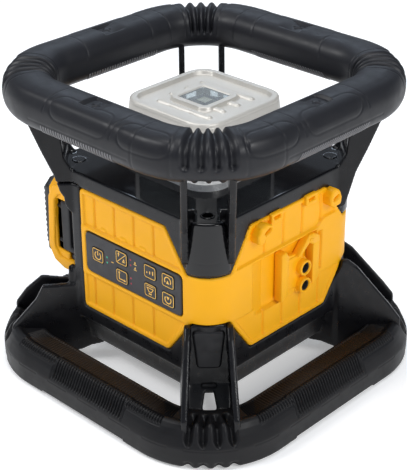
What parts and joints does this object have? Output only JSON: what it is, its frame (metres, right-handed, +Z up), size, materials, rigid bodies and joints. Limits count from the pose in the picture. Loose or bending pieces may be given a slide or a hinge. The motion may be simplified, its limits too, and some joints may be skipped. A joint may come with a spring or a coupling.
{
  "type": "rotating laser level",
  "caption": "Rotating laser level with bumper rings on four posts, a windowed self-levelling head, keypad, accessory face and slide-on battery pack.",
  "frame": {"origin": "ground plane under the middle of the head, between the four corner feet", "axes": "+Z up along the head, keypad face towards -Y, accessory face towards +X, battery pack towards -X, rear tripod thread towards +Y"},
  "size_m": [0.254, 0.254, 0.2299],
  "materials": {
    "bumper_rubber": "satin moulded rubber",
    "charcoal_plastic": "matte with gloss deck",
    "yellow_plastic": "satin",
    "keypad_plastic": "satin",
    "head_aluminium": "bead-blasted",
    "frame_aluminium": "machined",
    "black_anodised": "black anodised",
    "window_glass": "polished",
    "steel": "plain",
    "brass": "turned",
    "contact_brass": "plated",
    "board_green": "solder mask",
    "led_lens": "clear",
    "white_plastic": "moulded",
    "belt_rubber": "matte",
    "cell_wrap": "shrink wrap"
  },
  "bodies": {
    "housing": {"top_bumper": "bumper_rubber", "bottom_bumper": "bumper_rubber", "top_housing": "charcoal_plastic", "base_housing": "charcoal_plastic", "main_housing": "yellow_plastic", "battery_dock": "charcoal_plastic", "terminal_block": "contact_brass", "keypad_overlay": "keypad_plastic", "keypad_board": "board_green", "status_leds": "led_lens", "accessory_plate": "yellow_plastic", "accessory_inserts": "brass", "head_base": "head_aluminium", "head_cap": "head_aluminium", "head_windows": "window_glass", "top_window": "window_glass", "head_screws": "steel", "gimbal_frame": "frame_aluminium", "frame_pins": "steel", "levelling_motors": "steel", "main_board": "board_green", "beeper": "keypad_plastic", "tripod_insert": "brass", "side_tripod_insert": "brass", "housing_screws": "steel"},
    "gimbal_ring": {"gimbal_ring": "frame_aluminium", "barrel_pins": "steel"},
    "barrel": {"laser_barrel": "black_anodised", "laser_module": "brass", "collimator_lens": "window_glass", "level_vials": "window_glass", "bearing_outer_race": "steel", "drive_motor": "steel", "drive_belt": "belt_rubber"},
    "rotor": {"rotor": "black_anodised", "pentaprism": "window_glass", "rotor_pulley": "white_plastic", "encoder_disc": "steel", "bearing_inner_race": "steel"},
    "motor_pulley": {"motor_pulley": "white_plastic"},
    "x_lead_screw": {"x_lead_screw": "steel"},
    "y_lead_screw": {"y_lead_screw": "steel"},
    "x_level_nut": {"x_level_nut": "brass"},
    "y_level_nut": {"y_level_nut": "brass"},
    "battery_pack": {"pack_base_case": "charcoal_plastic", "pack_band": "yellow_plastic", "pack_top_case": "charcoal_plastic", "pack_cells": "cell_wrap", "latch_spring": "steel"},
    "latch_button": {"latch_button": "keypad_plastic"},
    "power_key": {"power_key": "keypad_plastic"},
    "slope_key": {"slope_key": "keypad_plastic"},
    "axis_key": {"axis_key": "keypad_plastic"},
    "speed_key": {"speed_key": "keypad_plastic"},
    "scan_key": {"scan_key": "keypad_plastic"},
    "clockwise_key": {"clockwise_key": "keypad_plastic"},
    "counterclockwise_key": {"counterclockwise_key": "keypad_plastic"}
  },
  "joints": [
    {"name": "gimbal_x", "type": "hinge", "parent": "housing", "child": "gimbal_ring", "pos_m": [0, 0, 0.14], "axis": [1, 0, 0], "range_deg": [-5, 5]},
    {"name": "gimbal_y", "type": "hinge", "parent": "gimbal_ring", "child": "barrel", "pos_m": [0, 0, 0.14], "axis": [0, 1, 0], "range_deg": [-5, 5]},
    {"name": "rotor_spin", "type": "hinge", "parent": "barrel", "child": "rotor", "pos_m": [0, 0, 0.1616], "axis": [0, 0, 1], "continuous": true},
    {"name": "motor_spin", "type": "hinge", "parent": "barrel", "child": "motor_pulley", "pos_m": [0.024, 0, 0.156], "axis": [0, 0, 1], "continuous": true},
    {"name": "x_nut_slide", "type": "slide", "parent": "housing", "child": "x_level_nut", "axis": [0, 0, 1], "range_m": [-0.0055, 0.0055]},
    {"name": "y_nut_slide", "type": "slide", "parent": "housing", "child": "y_level_nut", "axis": [0, 0, 1], "range_m": [-0.0055, 0.0055]},
    {"name": "x_screw_spin", "type": "hinge", "parent": "housing", "child": "x_lead_screw", "pos_m": [0.058, 0, 0.1], "axis": [0, 0, 1], "range_deg": [-620, 620]},
    {"name": "y_screw_spin", "type": "hinge", "parent": "housing", "child": "y_lead_screw", "pos_m": [0, 0.058, 0.1], "axis": [0, 0, 1], "range_deg": [-620, 620]},
    {"name": "battery_slide", "type": "slide", "parent": "housing", "child": "battery_pack", "axis": [0, -1, 0], "range_m": [0, 0.12]},
    {"name": "latch_press", "type": "slide", "parent": "battery_pack", "child": "latch_button", "axis": [-1, 0, 0], "range_m": [0, 0.003], "stiffness_N_per_m": 600, "springref_m": -0.003, "deforming": ["latch_spring"]},
    {"name": "power_key_press", "type": "slide", "parent": "housing", "child": "power_key", "axis": [0, 1, 0], "range_m": [0, 0.0004], "stiffness_N_per_m": 500, "springref_m": -0.001},
    {"name": "slope_key_press", "type": "slide", "parent": "housing", "child": "slope_key", "axis": [0, 1, 0], "range_m": [0, 0.0004], "stiffness_N_per_m": 500, "springref_m": -0.001},
    {"name": "axis_key_press", "type": "slide", "parent": "housing", "child": "axis_key", "axis": [0, 1, 0], "range_m": [0, 0.0004], "stiffness_N_per_m": 500, "springref_m": -0.001},
    {"name": "speed_key_press", "type": "slide", "parent": "housing", "child": "speed_key", "axis": [0, 1, 0], "range_m": [0, 0.0004], "stiffness_N_per_m": 500, "springref_m": -0.001},
    {"name": "scan_key_press", "type": "slide", "parent": "housing", "child": "scan_key", "axis": [0, 1, 0], "range_m": [0, 0.0004], "stiffness_N_per_m": 500, "springref_m": -0.001},
    {"name": "clockwise_key_press", "type": "slide", "parent": "housing", "child": "clockwise_key", "axis": [0, 1, 0], "range_m": [0, 0.0004], "stiffness_N_per_m": 500, "springref_m": -0.001},
    {"name": "counterclockwise_key_press", "type": "slide", "parent": "housing", "child": "counterclockwise_key", "axis": [0, 1, 0], "range_m": [0, 0.0004], "stiffness_N_per_m": 500, "springref_m": -0.001}
  ],
  "couplings": [
    {"joint": "motor_spin", "follows": "rotor_spin", "ratio": 3},
    {"joint": "x_nut_slide", "follows": "gimbal_y", "m_per_rad": -0.058},
    {"joint": "y_nut_slide", "follows": "gimbal_x", "m_per_rad": 0.058},
    {"joint": "x_screw_spin", "follows": "gimbal_y", "ratio": -121.47},
    {"joint": "y_screw_spin", "follows": "gimbal_x", "ratio": 121.47}
  ]
}
